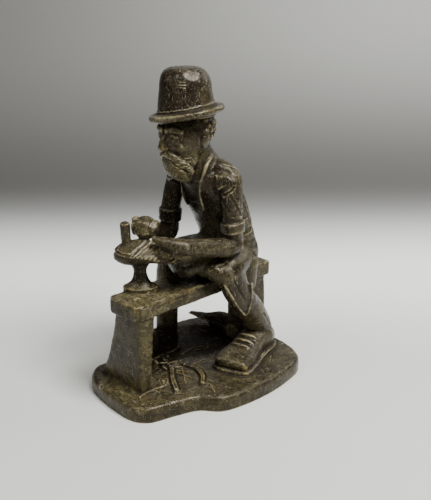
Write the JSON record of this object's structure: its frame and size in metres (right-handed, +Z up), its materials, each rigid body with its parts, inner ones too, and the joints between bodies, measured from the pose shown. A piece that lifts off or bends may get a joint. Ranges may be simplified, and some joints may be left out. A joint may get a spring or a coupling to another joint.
{
  "type": "carved stone figure of a cobbler at a bench",
  "caption": "Carved soapstone figure of a bearded cobbler in a round hat, astride a bench, mending a shoe on a last stand, on a flat wavy base.",
  "frame": {"origin": "middle of the base's box, on the underside", "axes": "+Z up; the figure faces -Y, their left side is +X; the bench runs along Y"},
  "size_m": [0.1059, 0.1324, 0.2],
  "materials": {
    "dark_soapstone": "dark waxed soapstone, umber with olive-tan mottling and worn paler edges, semi-gloss"
  },
  "bodies": {
    "root": {"cobbler_figure": "dark_soapstone"}
  },
  "joints": []
}
